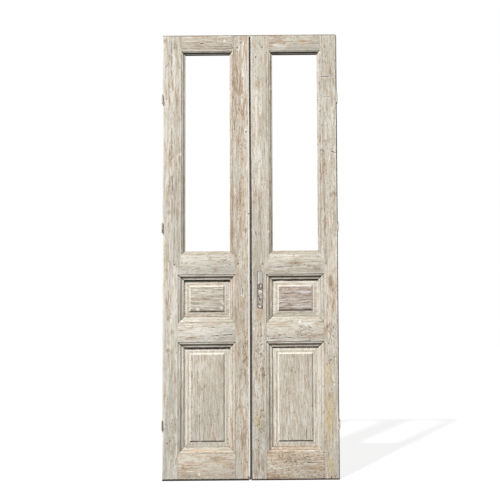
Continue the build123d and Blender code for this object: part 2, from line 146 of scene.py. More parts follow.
# Wear on the front faces, in millimetres across from the leaf's left edge and up from the floor.
# A patch has its half width and half height; a crack has its other end.
WEAR = {
    "left_hinge_stile": [
        ("bare", 44, 2145, 16, 80),
        ("bare", 44, 1735, 18, 130),
        ("bare", 38, 1545, 18, 110),
        ("bare", 18, 2365, 10, 35),
        ("bare", 32, 955, 18, 120),
        ("pale", 86, 2145, 14, 70),
        ("pale", 12, 2175, 10, 40),
        ("pitted", 36, 730, 18, 70),
        ("pitted", 48, 240, 38, 150),
        ("grey", 48, 505, 38, 200),
        ("crack", 48, 2374, 50, 2176),
        ("crack", 50, 1946, 50, 1716),
        ("crack", 52, 1630, 54, 1520),
        ("crack", 54, 126, 60, 78),
        ("crack", 76, 120, 70, 84),
        ("crack", 14, 2222, 34, 2250),
        ("nail", 66, 2324),
        ("nail", 6, 2050),
        ("nail", 20, 2050),
        ("stain", 34, 1434),
        ("stain", 32, 864),
        ("stain", 30, 688),
        ("stain", 54, 788),
        ("flake", 96, 1748),
        ("stain", 10, 2374),
    ],
    "left_top_rail": [
        ("bare", 188, 2360, 80, 25),
        ("bare", 294, 2342, 44, 15),
        ("pitted", 310, 2380, 34, 18),
        ("pale", 200, 2318, 110, 6),
        ("knot", 308, 2380),
        ("flake", 334, 2368),
        ("crack", 182, 2352, 224, 2356),
    ],
    "left_meeting_stile": [
        ("bare", 396, 2175, 16, 135),
        ("bare", 424, 2090, 14, 90),
        ("bare", 440, 1980, 14, 80),
        ("bare", 386, 1940, 14, 85),
        ("bare", 430, 1745, 16, 75),
        ("bare", 426, 1530, 20, 80),
        ("bare", 434, 915, 16, 115),
        ("bare", 418, 395, 16, 45),
        ("bare", 434, 235, 22, 90),
        ("pale", 422, 2350, 34, 35),
        ("pale", 442, 2200, 14, 55),
        ("pale", 444, 430, 20, 35),
        ("pitted", 442, 640, 22, 140),
        ("grey", 402, 1630, 20, 60),
        ("grey", 442, 555, 20, 95),
        ("ochre", 428, 958, 6, 60),
        ("knot", 406, 2328),
        ("knot", 428, 2358),
        ("knot", 432, 2056),
        ("crack", 416, 2026, 416, 1982),
        ("crack", 408, 2164, 406, 2120),
        ("crack", 432, 1018, 430, 980),
        ("nail", 452, 1868),
        ("nail", 456, 1830),
        ("nail", 410, 1154),
        ("knot", 426, 1776),
        ("stain", 436, 1470),
        ("stain", 446, 1334),
        ("rust", 466, 1424),
        ("flake", 428, 982),
        ("stain", 446, 638),
        ("rust", 462, 18),
    ],
    "left_lock_rail": [
        ("bare", 300, 1170, 60, 12),
        ("bare", 180, 1125, 60, 12),
        ("crack", 322, 1162, 360, 1184),
        ("stain", 284, 1120),
        ("stain", 258, 1184),
        ("knot", 162, 1118),
    ],
    "left_frieze_rail": [
        ("pale", 258, 790, 112, 20),
        ("bare", 152, 760, 46, 14),
        ("bare", 332, 822, 46, 9),
        ("ochre", 272, 828, 60, 5),
        ("crack", 230, 812, 322, 814),
        ("crack", 268, 766, 374, 772),
    ],
    "left_bottom_rail": [
        ("pale", 182, 45, 52, 20),
        ("bare", 130, 30, 44, 10),
        ("bare", 302, 120, 60, 15),
        ("ochre", 230, 156, 90, 5),
        ("flake", 198, 36),
    ],
    "left_small_panel": [
        ("pale", 318, 910, 16, 10),
        ("pale", 182, 915, 16, 9),
        ("ochre", 240, 1056, 80, 5),
        ("ring", 248, 1002),
        ("flake", 188, 908),
        ("flake", 316, 916),
        ("flake", 324, 942),
        ("nail", 116, 952),
    ],
    "left_tall_panel": [
        ("grey", 228, 370, 60, 150),
        ("pale", 220, 595, 46, 45),
        ("crack", 158, 686, 158, 362),
        ("crack", 198, 448, 200, 172),
        ("crack", 274, 298, 276, 266),
        ("crack", 350, 282, 352, 264),
        ("nail", 266, 660),
        ("nail", 208, 444),
        ("nail", 138, 484),
    ],
    "right_meeting_stile": [
        ("bare", 26, 2350, 18, 40),
        ("bare", 46, 2125, 28, 40),
        ("bare", 26, 1955, 16, 55),
        ("bare", 18, 1800, 12, 55),
        ("bare", 24, 1540, 12, 60),
        ("bare", 46, 865, 26, 45),
        ("bare", 52, 550, 22, 50),
        ("bare", 44, 60, 22, 45),
        ("pale", 56, 2025, 12, 60),
        ("pale", 46, 1730, 20, 70),
        ("pale", 30, 470, 18, 70),
        ("pale", 60, 190, 16, 80),
        ("pitted", 52, 670, 34, 185),
        ("pitted", 52, 280, 38, 120),
        ("yellow", 44, 325, 22, 60),
        ("crack", 10, 2174, 46, 2192),
        ("crack", 28, 1324, 32, 1280),
        ("ring", 80, 1700),
        ("rust", 6, 1486),
        ("flake", 94, 1324),
        ("flake", 18, 806),
        ("stain", 66, 556),
        ("stain", 38, 690),
        ("nail", 68, 2344),
        ("nail", 30, 2278),
    ],
    "right_hinge_stile": [
        ("pale", 382, 2295, 16, 30),
        ("pale", 420, 1920, 34, 85),
        ("pale", 430, 1510, 28, 40),
        ("bare", 378, 1820, 12, 30),
        ("bare", 384, 1640, 16, 85),
        ("bare", 390, 1525, 8, 40),
        ("bare", 440, 960, 18, 70),
        ("rusty", 436, 1522, 8, 22),
        ("rusty", 452, 1530, 6, 18),
        ("stain", 436, 1522),
        ("stain", 452, 1526),
        ("rusty", 428, 1055, 12, 45),
        ("stain", 432, 1036),
        ("stain", 426, 1078),
        ("rusty", 430, 825, 10, 25),
        ("pitted", 390, 1760, 24, 35),
        ("pitted", 432, 1820, 14, 20),
        ("pitted", 430, 785, 28, 80),
        ("pitted", 428, 635, 22, 45),
        ("yellow", 414, 575, 24, 70),
        ("yellow", 418, 340, 32, 180),
        ("yellow", 424, 70, 26, 65),
        ("crack", 386, 2168, 454, 2168),
        ("crack", 370, 2054, 410, 2056),
        ("crack", 420, 2060, 434, 2050),
        ("crack", 416, 1764, 460, 1750),
        ("nail", 438, 2166),
        ("ring", 442, 1996),
        ("rust", 424, 16),
        ("knot", 428, 476),
    ],
    "right_top_rail": [
        ("bare", 152, 2375, 76, 15),
        ("ochre", 290, 2358, 14, 24),
        ("pale", 166, 2335, 62, 15),
        ("knot", 240, 2382),
    ],
    "right_lock_rail": [
        ("bare", 200, 1160, 90, 12),
        ("crack", 94, 1130, 224, 1136),
        ("crack", 224, 1136, 358, 1152),
        ("crack", 244, 1139, 300, 1147),
        ("rusty", 344, 1126, 20, 9),
        ("stain", 352, 1124),
        ("stain", 366, 1122),
        ("stain", 314, 1138),
    ],
    "right_frieze_rail": [
        ("pitted", 286, 785, 82, 35),
        ("pitted", 128, 765, 38, 15),
        ("pale", 310, 832, 46, 20),
        ("crack", 104, 748, 264, 758),
        ("crack", 280, 740, 318, 736),
        ("crack", 292, 826, 330, 800),
        ("flake", 264, 838),
    ],
    "right_bottom_rail": [
        ("grey", 230, 105, 130, 44),
        ("pitted", 230, 110, 104, 30),
        ("pale", 372, 115, 22, 35),
        ("stain", 202, 116),
        ("crack", 260, 96, 346, 90),
        ("ochre", 356, 168, 8, 5),
    ],
    "right_small_panel": [
        ("rusty", 242, 1020, 76, 7),
        ("rusty", 190, 990, 26, 4),
        ("rusty", 276, 938, 46, 7),
        ("pale", 242, 958, 56, 5),
        ("ochre", 345, 970, 9, 60),
        ("crack", 164, 1010, 292, 1024),
        ("crack", 158, 940, 308, 934),
    ],
    "right_tall_panel": [
        ("rusty", 134, 445, 9, 110),
        ("rusty", 348, 440, 8, 105),
        ("bare", 194, 405, 20, 90),
        ("bare", 300, 500, 18, 65),
        ("pitted", 218, 560, 38, 45),
        ("crack", 350, 544, 348, 316),
        ("ring", 192, 556),
        ("ring", 278, 514),
        ("crack", 198, 254, 198, 212),
        ("crack", 294, 264, 294, 216),
    ],
}


def shade(red, green, blue):
    """A colour as it shows on a screen, 0 to 255, made linear."""
    linear = []
    for value in (red / 255, green / 255, blue / 255):
        linear.append(value / 12.92 if value <= 0.04045 else ((value + 0.055) / 1.055) ** 2.4)
    return (*linear, 1.0)


# The wash from thick to thin, the wood under it, and the dirt and painted shade on both.
WHITEWASH = shade(228, 224, 214)
LIMED = shade(208, 202, 189)
BARE = shade(196, 175, 152)
DEEP = shade(152, 132, 110)
DIRT_AND_SHADE = shade(88, 74, 58)
SOOT_AND_SHADE = shade(34, 27, 21)
COOL_GREY = shade(178, 176, 162)
THREAD_PALE = shade(236, 232, 222)
BRIGHT_LIME = shade(238, 234, 226)

# Stains.
OCHRE = shade(206, 170, 122)
YELLOW = shade(218, 198, 146)
RUST = shade(126, 72, 48)

# Fields and margins of the panels.
TAUPE = shade(182, 172, 157)
TAUPE_DARK = shade(140, 124, 104)
TAUPE_PALE = shade(234, 230, 220)
PLUM = shade(162, 142, 136)
PLUM_DARK = shade(118, 88, 82)
PLUM_PALE = shade(216, 209, 204)
MARGIN = shade(216, 210, 196)
MARGIN_BAND = shade(180, 168, 148)
MARGIN_HIGHLIGHT = shade(240, 235, 225)
FIELD_SHADOW = shade(50, 39, 31)

# Mouldings, arrises and edges.
SILL = shade(150, 138, 120)
LIP_LIME_AND_HIGHLIGHT = shade(233, 228, 216)
RUBBED_AND_HIGHLIGHT = shade(234, 229, 216)
LIMED_ARRIS_AND_HIGHLIGHT = shade(240, 235, 224)
ARRIS_SHADE = shade(28, 20, 15)
SAWN = shade(116, 97, 78)
SAWN_PALE = shade(160, 142, 118)
MEETING_FACE_DIRT_AND_SHADE = shade(44, 33, 26)
UNDERSIDE_SHADE = shade(44, 35, 27)
REVEAL_SHADE = shade(134, 130, 112)

# Small marks on the boards: the radii between which each fades, its colour and how much of it,
# and the radius of the middle that it leaves free.
DABS = (
    ("stain", 0.002, 0.018, DEEP, 0.55),
    ("rust", 0.003, 0.007, RUST, 0.8),
    ("flake", 0.003, 0.010, BRIGHT_LIME, 0.9),
    ("ring", 0.006, 0.015, BRIGHT_LIME, 0.55),
    ("ring", 0.005, 0.010, DEEP, 0.7, 0.007),
    ("knot", 0.007, 0.016, BRIGHT_LIME, 0.65),
    ("knot", 0.005, 0.010, DEEP, 0.75, 0.006),
    ("knot", 0.001, 0.004, SOOT_AND_SHADE, 0.6),
    ("nail", 0.004, 0.010, BRIGHT_LIME, 0.55),
)


class Wire:
    """A value on its way from node to node; sums on it add Math nodes."""

    def __init__(self, owner, socket):
        self.owner = owner
        self.socket = socket

    def sum_with(self, operation, *values):
        settings = {"operation": operation}
        return self.owner.node("ShaderNodeMath", settings, dict(enumerate(values)))

    def __add__(self, other):
        return self.sum_with("ADD", self, other)

    __radd__ = __add__

    def __mul__(self, other):
        return self.sum_with("MULTIPLY", self, other)

    __rmul__ = __mul__

    def __sub__(self, other):
        return self.sum_with("SUBTRACT", self, other)

    def __rsub__(self, other):
        return self.sum_with("SUBTRACT", other, self)

    def __abs__(self):
        return self.sum_with("ABSOLUTE", self)

    def least(self, other):
        return self.sum_with("MINIMUM", self, other)

    def most(self, other):
        return self.sum_with("MAXIMUM", self, other)

    def power(self, other):
        return self.sum_with("POWER", self, other)

    def sine(self):
        return self.sum_with("SINE", self)

    def below(self, limit, soft):
        """1 under the limit, 0 above it, with a soft edge."""
        return (limit - self).rise(-soft, soft)

    def rise(self, low, high):
        """0 at low and 1 at high, eased between them."""
        settings = {"interpolation_type": "SMOOTHSTEP"}
        sockets = {"Value": self, "From Min": low, "From Max": high}
        return self.owner.node("ShaderNodeMapRange", settings, sockets)

    def line(self, place, width):
        """1 where the value is at place, 0 a width away."""
        return 1 - abs(self - place).rise(width * 0.3, width)


class Nodes:
    """A node tree, and the one way that nodes are added to it."""

    def __init__(self, tree):
        self.tree = tree

    def node(self, kind, settings=None, sockets=None, out=0):
        node = self.tree.nodes.new(kind)
        for key, value in (settings or {}).items():
            setattr(node, key, value)
        for key, value in (sockets or {}).items():
            self.feed(node.inputs[key], value)
        return Wire(self, node.outputs[out]) if node.outputs else None

    def feed(self, socket, value):
        if isinstance(value, Wire):
            self.tree.links.new(value.socket, socket)
        else:
            socket.default_value = value

    def split(self, vector):
        """The three numbers of a vector."""
        first = self.node("ShaderNodeSeparateXYZ", None, {0: vector})
        return [Wire(self, socket) for socket in first.socket.node.outputs]

    def point(self, x, y, z):
        return self.node("ShaderNodeCombineXYZ", None, {0: x, 1: y, 2: z})

    def vector(self, operation, *values, out="Vector"):
        settings = {"operation": operation}
        return self.node("ShaderNodeVectorMath", settings, dict(enumerate(values)), out)

    def distance(self, where, across, up):
        """How far a point on the flat is from a place across and up."""
        return self.vector("DISTANCE", where, (across, 0.0, up), out="Value")

    def noise(self, where, stretch, detail=3, roughness=0.55):
        """Smooth noise, about 0.5, at so many waves a metre along each axis."""
        scaled = self.vector("MULTIPLY", where, stretch)
        sockets = {"Vector": scaled, "Scale": 1.0, "Detail": detail, "Roughness": roughness}
        return self.node("ShaderNodeTexNoise", None, sockets)

    def cells(self, where, stretch):
        """Distance to the nearest of scattered points, so many a metre along each axis."""
        scaled = self.vector("MULTIPLY", where, stretch)
        return self.node("ShaderNodeTexVoronoi", None, {"Vector": scaled, "Scale": 1.0})

    def mix(self, factor, first, second):
        """Two colours mixed; the Mix node keeps its colours at inputs 6 and 7 and output 2."""
        settings = {"data_type": "RGBA", "blend_type": "MIX", "clamp_factor": True}
        return self.node("ShaderNodeMix", settings, {0: factor, 6: first, 7: second}, out=2)


class Finish(Nodes):
    """A material on its way: coats of colour over a ground, and the shader that shows them."""

    def __init__(self, name, ground):
        self.material = bpy.data.materials.new(name)
        self.material.use_nodes = True
        super().__init__(self.material.node_tree)
        self.shader = self.tree.nodes["Principled BSDF"]
        self.colour = ground

    def place(self):
        """The point on the piece, in the object's own frame."""
        return self.split(self.node("ShaderNodeTexCoord", out="Object"))

    def facing(self):
        """Which way the surface looks, in the object's own frame."""
        return self.split(self.node("ShaderNodeTexCoord", out="Normal"))

    def coat(self, amount, tint):
        """Lays a colour over what is there, as thickly as the amount says."""
        self.colour = self.mix(amount, self.colour, tint)

    def surface(self, roughness, height, depth, strength, **constants):
        """Ends the material with its roughness, its relief and the shader's constants."""
        sockets = {"Height": height, "Distance": depth, "Strength": strength}
        bump = self.node("ShaderNodeBump", None, sockets)
        inputs = {"Base Color": self.colour, "Roughness": roughness, "Normal": bump}
        inputs.update({name.replace("_", " "): value for name, value in constants.items()})
        for name, value in inputs.items():
            self.feed(self.shader.inputs[name], value)
        return self.material


def placed(leaf, member):
    """The wear of one board, turned from millimetres on the leaf into metres in the room."""
    marks = []
    for kind, across, up, *rest in WEAR[f"{leaf}_{member}"]:
        spot = [LEFT_EDGE[leaf] + across / 1000, up / 1000]
        if kind == "crack":
            rest = [LEFT_EDGE[leaf] + rest[0] / 1000, rest[1] / 1000]
        else:
            rest = [size / 1000 for size in rest]
        marks.append((kind, *spot, *rest))
    return marks


class Board(Finish):
    """Limewashed pine for one board, with its own grain, tone and marks."""

    def __init__(self, leaf, member, seed):
        super().__init__(f"{leaf}_{member}_pine", LIMED)
        self.leaf, self.member = leaf, member
        self.left = LEFT_EDGE[leaf]
        self.marks = placed(leaf, member)
        self.x, self.y, self.z = self.place()
        self.looks = self.facing()
        self.front = self.y.below(WEAR_ENDS, 0.001)
        self.flat = self.point(self.x, 0.0, self.z)
        across, along = (self.x, self.z) if member in UPRIGHT else (self.z, self.x)
        shift = random.Random(seed).uniform(2, 9)
        self.grain = self.point(across + shift, self.y + shift * 0.3, along + shift * 1.7)

        # Growth rings: nearly flat sheets through the board, bowed by slow noise and by knots.
        self.bow = self.noise(self.grain, (9.0, 9.0, 1.3), 2, 0.5)
        waver = self.noise(self.grain, (40.0, 40.0, 5.0), 2, 0.5)
        rings = (across + self.y * 1.7) * 80 + self.bow * 9 + waver * 0.9
        for kind, strength in (("knot", 2.4), ("ring", 1.2)):
            away = self.nearest_spot(kind)
            if away is not None:
                swirl = 1 - away.rise(0.0, 0.040)
                rings = rings + swirl * swirl * strength
        self.late = ((rings * (2 * math.pi)).sine() * 0.5 + 0.5).power(2.0)

        # Long soft bands, narrow streaks, hair-fine fibres, and shapes with little direction.
        self.bands = self.noise(self.grain, (34.0, 34.0, 2.6), 3, 0.6)
        self.streaks = self.noise(self.grain, (120.0, 120.0, 14.0), 4, 0.66)
        self.washes = self.noise(self.grain, (100.0, 100.0, 9.0), 4, 0.66)
        self.fibres = self.noise(self.grain, (430.0, 430.0, 18.0), 3, 0.6)
        self.clouds = self.noise(self.grain, (14.0, 14.0, 6.0), 4, 0.62)
        self.flecks = self.noise(self.grain, (150.0, 150.0, 55.0), 4, 0.75)
        self.torn = self.noise(self.grain, (60.0, 60.0, 15.0), 4, 0.65) * 2.6 - 1.3

    def nearest_spot(self, kind):
        """Distance to the nearest small mark of a kind, or None."""
        nearest = None
        for name, *spot in self.marks:
            if name == kind:
                away = self.distance(self.flat, *spot)
                nearest = away if nearest is None else nearest.least(away)
        return nearest

    def nearest_crack(self):
        """Distance to the nearest crack line, or None."""
        nearest = None
        for name, *line in self.marks:
            if name == "crack":
                start = Vector((line[0], 0.0, line[1]))
                run = Vector((line[2], 0.0, line[3])) - start
                unit = tuple(run / run.length_squared)
                from_start = self.vector("SUBTRACT", self.flat, tuple(start))
                share = self.vector("DOT_PRODUCT", from_start, unit, out="Value")
                on_line = self.node("ShaderNodeClamp", None, {0: share})
                scale = {0: tuple(run), "Scale": on_line}
                foot = self.node("ShaderNodeVectorMath", {"operation": "SCALE"}, scale)
                away = self.vector("DISTANCE", from_start, foot, out="Value")
                nearest = away if nearest is None else nearest.least(away)
        return nearest

    def patches(self, kind):
        """1 in the front's patches of a kind, 0 outside them, with a soft torn rim, or None."""
        inside = None
        for name, *area in self.marks:
            if name == kind:
                across, up, half_wide, half_tall = area
                reach = (1 / half_wide, 0.0, 1 / half_tall)
                offset = (-across * reach[0], 0.0, -up * reach[2])
                from_middle = self.vector("MULTIPLY_ADD", self.flat, reach, offset)
                away = self.vector("LENGTH", from_middle, out="Value")
                here = 1 - (away + self.torn).rise(0.35, 1.2)
                inside = here if inside is None else inside.most(here)
        return None if inside is None else inside * self.front

    def worn(self, kind):
        """The patches of a kind, or 0 where the board has none."""
        area = self.patches(kind)
        return 0.0 if area is None else area

    def wash(self, bare, white):
        """Warm wood in streaks where the wash has gone, nearly white where it is thick."""
        gone = self.bands * 0.45 + self.streaks * 0.65 + self.clouds * 0.4 + self.late * 0.04
        self.gone = gone - 0.765 + bare + self.worn("bare") * 0.13
        thick = self.washes * 0.9 + self.clouds * 0.3 - self.bands * 0.2
        thick = thick - 0.52 + white + self.worn("pale") * 0.13
        cool = self.noise(self.grain, (7.0, 7.0, 1.6), 2)
        self.coat(self.gone.rise(-0.05, 0.10) * 0.95, BARE)
        self.coat((self.gone + self.flecks * 0.6 - 0.37).rise(0.0, 0.12) * 0.7, DEEP)
        self.coat(thick.rise(-0.02, 0.08) * 0.9, WHITEWASH)
        self.coat((cool - 0.46).rise(0.0, 0.16) * 0.35, COOL_GREY)

    def scour_field(self, inward):
        """The raised field, barer than its margin; the right leaf's small one is plum."""
        field = inward.rise(FIELD_EDGE - 0.0015, FIELD_EDGE + 0.0005)
        scoured = (self.bands * 0.9 + self.streaks * 0.7).least(1.0)
        if (self.leaf, self.member) == ("right", "small_panel"):
            self.coat(field * (scoured * 0.5 + 0.1), PLUM)
            self.coat((self.streaks - 0.50).rise(0.0, 0.07) * field * 0.65, PLUM_DARK)
            self.coat((self.washes - 0.51).rise(0.0, 0.06) * field * 0.75, PLUM_PALE)
        elif self.member == "small_panel":
            self.coat(field * scoured * 0.65, TAUPE)
            self.coat((self.streaks - 0.51).rise(0.0, 0.07) * field * 0.5, TAUPE_DARK)
            self.coat((self.washes - 0.52).rise(0.0, 0.06) * field * 0.65, TAUPE_PALE)
        else:
            self.coat(field * scoured * 0.4, TAUPE)

    def tone_and_shade_panel(self):
        """Painted shade at the sight, under the top moulding and the field; rubbed wash and
        painted highlights on margin and bevels.
        """
        low, high = SMALL if self.member == "small_panel" else TALL
        reach, foot_line = PANEL_SHADOWS[self.leaf, self.member]
        from_left = self.x - (self.left + SIGHT_LEFT)
        from_right = (self.left + SIGHT_RIGHT) - self.x
        from_top, from_foot = high - self.z, self.z - low
        inward = from_left.least(from_right).least(from_foot.least(from_top))
        self.scour_field(inward)

        soft = (self.clouds + 0.45).least(1.0)
        margin = 1 - inward.rise(FIELD_EDGE - 0.001, FIELD_EDGE)
        lit, at_foot, at_right = (
            (side - inward).below(0.0004, 0.0003)
            for side in (from_top.least(from_left), from_foot, from_right)
        )
        self.coat(margin * (self.clouds + 0.2).least(1.0) * 0.5, MARGIN)
        self.coat(inward.line(0.0225, 0.0070) * lit * soft * 0.5, MARGIN_BAND)
        # Painted highlights: pale lines on margin and bevels where they face the light, and
        # above the field's foot.
        lit_lines = inward.line(0.0150, 0.0040).most(inward.line(BEVEL_FOOT + 0.0045, 0.0055))
        right_lines = inward.line(0.0030, 0.0040).most(inward.line(BEVEL_FOOT - 0.0025, 0.0035))
        foot_lip = inward.line(foot_line - 0.0075, 0.0030) * at_foot
        painted_highlight = (lit_lines * lit).most(right_lines * at_right).most(foot_lip)
        self.coat(painted_highlight * margin * soft * 0.75, MARGIN_HIGHLIGHT)
        # Painted shade along the sight, where the moulding shades the margin; none on the right
        # side.
        sight = (1 - inward.rise(0.0015, 0.0060)) * (1 - at_right) * (at_foot * 0.2 + 0.5)
        self.coat(sight * soft, DIRT_AND_SHADE)
        # Painted shadow under the top moulding.
        self.coat((1 - from_top.rise(reach - 0.0015, reach + 0.0020)) * 0.93, SOOT_AND_SHADE)
        foot = inward.line(foot_line, 0.0054) * at_foot
        cheek = inward.line(BEVEL_FOOT + 0.0040, 0.0034) * at_right
        shadow = (foot * 0.95).most(cheek * 0.65) * (self.clouds + 0.6).least(1.0)
        self.coat(shadow, FIELD_SHADOW)

    def soil_and_shade_mouldings(self):
        """Dirt and painted shade in quirks and mitres, dark shoulders, lime and painted
        highlights on lips.
        """
        patchiness = (self.clouds * 1.3 + 0.15).least(1.0)
        lines, lips, mitres = 0.0, 0.0, 0.0
        for (low, high), sight, wide in OPENINGS:
            left_of = self.left + sight - self.x
            beside = left_of.most(self.x - self.left - SIGHT_RIGHT)
            above = (low - self.z).most(self.z - high)
            out = beside.most(above)
            lit = 1 - (out - left_of.most(self.z - high)).rise(0.0, 0.001)
            top = self.z.rise(high, high + 0.0005)
            # Lines in the quirks are dirt and painted shade; pale lips are rubbed lime, with
            # painted highlights on those that face the light.
            if wide == PANEL_MOULD:
                lines = out.line(PANEL_FILLET, 0.0030) * 0.5 + lines
                lines = out.line(PANEL_QUIRK, 0.0026) * 0.55 + lines
                lips = out.line(PANEL_LIP, 0.0040) * 0.4 + lips
                lips = out.line(PANEL_ARRIS, 0.0042) * lit * 0.9 + lips
            else:
                lines = out.line(GLASS_QUIRK, 0.0030) * (1 - top) * 0.5 + lines
                lips = out.line(GLASS_ARRIS, 0.0045) * lit * 0.6 + lips
                lips = out.line(GLASS_TOP_LIP, 0.0050) * top + lips
                sill = self.z.rise(low - SILL_DEEP, low - SILL_DEEP + 0.0020)
                sill = sill * (1 - self.z.rise(low - 0.0010, low + 0.0010))
                sill = sill * (above - beside).rise(0.0, 0.0005)
                self.coat(sill * patchiness * 0.75, SILL)
            # Dark mitres: the joint, with painted shade deepest at the top corners.
            corner = beside.least(above).rise(0.0, 0.002) * (1 - out.rise(wide, wide + 0.001))
            cut = 1 - abs(beside - above).rise(0.0010, 0.0024)
            deep_cut = 1 - abs(beside - above).rise(0.0018, 0.0042)
            mitres = (cut * 0.7).most(deep_cut * top) * corner + mitres
        if self.member in SHOULDERS:
            left_end, right_end, left_dark, right_dark = SHOULDERS[self.member]
            lines = (self.x - (self.left + left_end)).line(0.0, 0.0026) * left_dark + lines
            lines = (self.x - (self.left + right_end)).line(0.0, 0.0026) * right_dark + lines
        self.coat(lips.least(1.0) * patchiness * 0.8, LIP_LIME_AND_HIGHLIGHT)
        self.coat(lines.least(1.0) * patchiness, DIRT_AND_SHADE)
        self.coat(mitres.least(1.0) * 0.9, SOOT_AND_SHADE)

    def stain(self):
        """Placed stains, thin where the grain is pale, and threads of dark and pale grain."""
        for kind, tint, amount in (
            ("grey", COOL_GREY, 0.5),
            ("ochre", OCHRE, 0.7),
            ("yellow", YELLOW, 0.68),
            ("rusty", RUST, 0.5),
        ):
            area = self.patches(kind)
            if area is not None:
                self.coat(area * amount * (self.streaks * 1.6).least(1.0), tint)
        threads = self.noise(self.grain, (240.0, 240.0, 20.0), 2, 0.6)
        self.coat((threads - 0.55).rise(0.0, 0.09) * 0.45, DEEP)
        self.coat((0.44 - threads).rise(0.0, 0.09) * 0.4, THREAD_PALE)

    def speckle(self, dirty):
        """Dark specks and dashes, thick where the face is pitted, and pale chips.

        Gives the specks, which are also pits in the relief.
        """
        pits = self.worn("pitted")
        gate = self.noise(self.grain, (38.0, 38.0, 20.0), 3, 0.6) - 0.56 + dirty + pits * 0.16
        holes = 0.25 - self.cells(self.grain, (85.0, 85.0, 50.0)) + pits * 0.07
        specks = holes.rise(0.0, 0.09) * gate.rise(0.0, 0.1)
        dashes = (self.flecks - 0.585 + dirty + pits * 0.06).rise(0.0, 0.07)
        chips = (0.20 - self.cells(self.grain, (70.0, 70.0, 34.0))).rise(0.0, 0.1)
        self.coat(chips * (self.washes - 0.48).rise(0.0, 0.1) * 0.7, WHITEWASH)
        self.coat(dashes * 0.75, DEEP)
        self.coat(specks * 0.75, DIRT_AND_SHADE)
        return specks

    def wear_and_shade_edges(self):
        """Arrises rubbed pale and painted bright, sawn edges, dirt at the top, a dark foot, and
        painted shade by the gap.
        """
        x, y, z, left = self.x, self.y, self.z, self.left
        side = (x - left).least(left + LEAF_WIDE - x)
        rim = side.least(z.least(LEAF_TALL - z))
        behind = y.rise(FRONT + 0.0012, FRONT + 0.0026)
        self.sawn = rim.below(0.0003, 0.0003) * behind
        # The front arrises near the sides: rubbed wash, painted bright as a highlight.
        rubbed = (1 - side.rise(0.0045, 0.0095)) * (1 - behind)
        self.coat(rubbed * (self.clouds - 0.25).rise(0.0, 0.2) * 0.8, RUBBED_AND_HIGHLIGHT)
        edge_tone = self.mix(self.streaks.rise(0.35, 0.65), SAWN, SAWN_PALE)
        # The meeting edge face is painted dark: grime, and painted shade of the gap.
        if self.member == "meeting_stile":
            face = side.below(0.0003, 0.0003) * (1 - self.streaks.rise(0.45, 0.75) * 0.3)
            edge_tone = self.mix(face, edge_tone, MEETING_FACE_DIRT_AND_SHADE)
        self.coat(self.sawn * 0.95, edge_tone)

        reach = DARK_FOOT_REACH[self.leaf]
        grimy_top = (z + (self.flecks - 0.5) * 0.012).rise(2.3935, 2.3975)
        dark_foot = 1 - (z + (self.flecks - 0.5) * 0.010).rise(reach, reach + 0.0030)
        self.coat(grimy_top * 0.65, DIRT_AND_SHADE)
        self.coat(dark_foot * 0.92, SOOT_AND_SHADE)

        # Painted shade, leaning and fraying, lines the gap and the right leaf's outer arris.
        frayed = (self.flecks - 0.5) * 0.004 + (self.bow - 0.5) * 0.003
        if self.leaf == "left":
            # On the left leaf a pale line beside the gap, low down: rubbed wash painted bright
            # as a highlight.
            limed = (x - left).line(0.4655, 0.0050) * (1 - z.rise(1.25, 1.65))
            self.coat(limed * (self.clouds + 0.35).least(1.0) * 0.85, LIMED_ARRIS_AND_HIGHLIGHT)
            lean = z.rise(1.6, 2.3) * 0.0025
            arris_shade = (x + frayed * 0.4 + lean).rise(left + 0.4692, left + 0.4700)
        else:
            lean = z.rise(1.4, 2.3) * 0.0035
            by_gap = 1 - (x + frayed + lean).rise(left + 0.0056, left + 0.0070)
            arris_shade = (x + frayed).rise(left + 0.4645, left + 0.4660).most(by_gap)
        arris_shade = arris_shade * (1 - y.rise(FRONT + 0.0040, FRONT + 0.0075))
        self.coat(arris_shade * 0.95, ARRIS_SHADE)

    def shade_undersides_and_reveals(self):
        """Painted shade on faces that look down or into the glazed opening."""
        under = (self.looks[2] * -1).rise(0.35, 0.8)
        reveal = self.looks[0].rise(0.6, 0.95) * self.z.rise(1.2, 1.21) * (1 - self.sawn)
        self.coat(under * 0.92, UNDERSIDE_SHADE)
        self.coat(reveal * 0.25, REVEAL_SHADE)

    def dab(self, kind, inner, outer, tint, amount, hollow=0.0):
        """Tints the board round the marks of a kind and gives the mask."""
        away = self.nearest_spot(kind)
        if away is None:
            return None
        away = away + self.wobble
        mask = (1 - away.rise(inner, outer)) * self.front
        if hollow:
            mask = mask * away.rise(hollow * 0.4, hollow)
        self.coat(mask * amount, tint)
        return mask

    def mark(self):
        """Lays on the placed marks and gives how deep the nail holes and cracks go."""
        fine = (self.noise(self.flat, (190.0, 190.0, 190.0), 3, 0.7) - 0.5) * 0.012
        self.wobble = (self.noise(self.flat, (70.0, 70.0, 50.0), 2) - 0.5) * 0.028 + fine
        deep = 0.0
        for dab in DABS:
            self.dab(*dab)
        nails = self.dab("nail", 0.0020, 0.0050, SOOT_AND_SHADE, 0.9)
        if nails is not None:
            deep = nails * 2.0 + deep
        away = self.nearest_crack()
        if away is not None:
            away = away - (self.noise(self.grain, (40.0, 40.0, 26.0), 3) - 0.47) * 0.012
            cracks = (1 - (away + self.wobble * 0.2).rise(-0.0004, 0.0022)) * self.front
            beside = (1 - (away + self.wobble).rise(0.001, 0.007)) * self.front
            self.coat(beside * 0.45, BRIGHT_LIME)
            self.coat(cracks * 0.78, DIRT_AND_SHADE)
            deep = cracks * 2.0 + deep
        return deep


